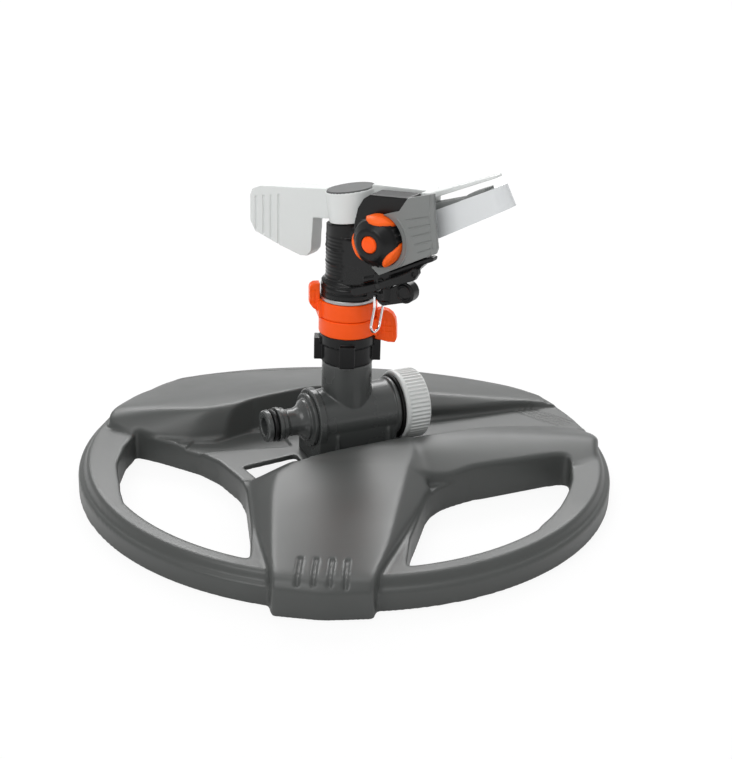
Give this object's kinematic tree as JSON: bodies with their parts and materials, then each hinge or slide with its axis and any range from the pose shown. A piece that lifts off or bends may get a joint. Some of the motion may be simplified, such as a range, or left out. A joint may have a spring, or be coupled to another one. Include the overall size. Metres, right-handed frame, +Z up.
{
  "type": "impact sprinkler",
  "caption": "Lawn impact sprinkler on a ring-shaped sled base: tee with hose nipple and end cap, turning head with spring-return drive arm, jet knob, trip hoop and two arc-setting collars.",
  "frame": {"origin": "centre of the round edge of the sled ring at ground level, on the riser axis, at the underside of the central foot", "axes": "+Z up along the riser axis, +X along the tee towards the end cap (the nipple points along -X), +Y towards the flattened rear edge of the sled"},
  "size_m": [0.248, 0.2391, 0.1602],
  "materials": {
    "sled_plastic": "satin moulded dark grey",
    "screw_steel": "plain zinc-plated steel",
    "seal_rubber": "soft black rubber",
    "filter_mesh": "fine moulded screen",
    "cap_plastic": "light grey, satin",
    "black_plastic": "black, satin",
    "washer_nylon": "natural nylon",
    "stem_brass": "turned",
    "orange_plastic": "vivid orange, satin",
    "ring_steel": "pressed washer",
    "panel_plastic": "mid grey, satin",
    "wire_steel": "bright stainless wire",
    "arm_plastic": "pale grey, satin",
    "vane_chrome": "polished sheet"
  },
  "bodies": {
    "base": {"sled_base": "sled_plastic", "base_screws": "screw_steel", "tee_body": "sled_plastic", "hose_nipple": "sled_plastic", "nipple_o_ring": "seal_rubber", "inlet_filter": "filter_mesh", "cap_seal": "seal_rubber", "bearing_nut": "black_plastic", "thrust_washers": "washer_nylon", "friction_ring": "ring_steel"},
    "cap": {"end_cap": "cap_plastic"},
    "lower_collar": {"lower_arc_collar": "orange_plastic"},
    "upper_collar": {"upper_arc_collar": "orange_plastic"},
    "head": {"bearing_stem": "stem_brass", "stem_seal": "seal_rubber", "bearing_spring": "screw_steel", "head_body": "black_plastic", "nozzle_insert": "black_plastic", "side_panel": "panel_plastic", "lever_pin": "screw_steel", "bar_pin": "screw_steel", "arm_pin": "screw_steel", "arm_spring": "screw_steel", "arm_washer": "washer_nylon", "toggle_spring": "screw_steel"},
    "knob": {"knob_shell": "black_plastic", "knob_pads": "orange_plastic", "knob_button": "orange_plastic", "knob_shaft": "black_plastic"},
    "lever": {"trip_lever": "black_plastic"},
    "hoop": {"trip_hoop": "wire_steel"},
    "bar": {"reversing_bar": "black_plastic"},
    "arm": {"drive_arm": "arm_plastic", "hub_disc": "panel_plastic", "deflector_bracket": "panel_plastic", "jet_deflector": "vane_chrome"}
  },
  "joints": [
    {"name": "cap_turn", "type": "hinge", "parent": "base", "child": "cap", "pos_m": [0.03, 0, 0.0325], "axis": [1, 0, 0], "continuous": true},
    {"name": "lower_stop", "type": "hinge", "parent": "base", "child": "lower_collar", "pos_m": [0, 0, 0.078], "axis": [0, 0, 1], "range_deg": [0, 165]},
    {"name": "upper_stop", "type": "hinge", "parent": "base", "child": "upper_collar", "pos_m": [0, 0, 0.086], "axis": [0, 0, 1], "range_deg": [-165, 0]},
    {"name": "head_turn", "type": "hinge", "parent": "base", "child": "head", "pos_m": [0, 0, 0.0915], "axis": [0, 0, 1], "range_deg": [-98, 3]},
    {"name": "knob_turn", "type": "hinge", "parent": "head", "child": "knob", "pos_m": [0.01288, -0.02014, 0.125], "axis": [-0.8425, -0.5388, 0], "range_deg": [0, 270]},
    {"name": "lever_swing", "type": "hinge", "parent": "head", "child": "lever", "pos_m": [0.0102, -0.02078, 0.097], "axis": [0, 0, 1], "range_deg": [-10, 10]},
    {"name": "hoop_flip", "type": "hinge", "parent": "lever", "child": "hoop", "pos_m": [0.00751, -0.01657, 0.0958], "axis": [0.8425, 0.5388, 0], "range_deg": [-50, 0]},
    {"name": "bar_tilt", "type": "hinge", "parent": "head", "child": "bar", "pos_m": [0.00142, -0.02877, 0.1049], "axis": [0.8425, 0.5388, 0], "range_deg": [-2.05, 2.05]},
    {"name": "arm_swing", "type": "hinge", "parent": "head", "child": "arm", "pos_m": [0.00075, -0.00118, 0.1348], "axis": [-0.0936, 0.1463, 0.9848], "range_deg": [0, 90]}
  ],
  "couplings": [
    {"joint": "bar_tilt", "follows": "lever_swing", "ratio": 0.2}
  ]
}
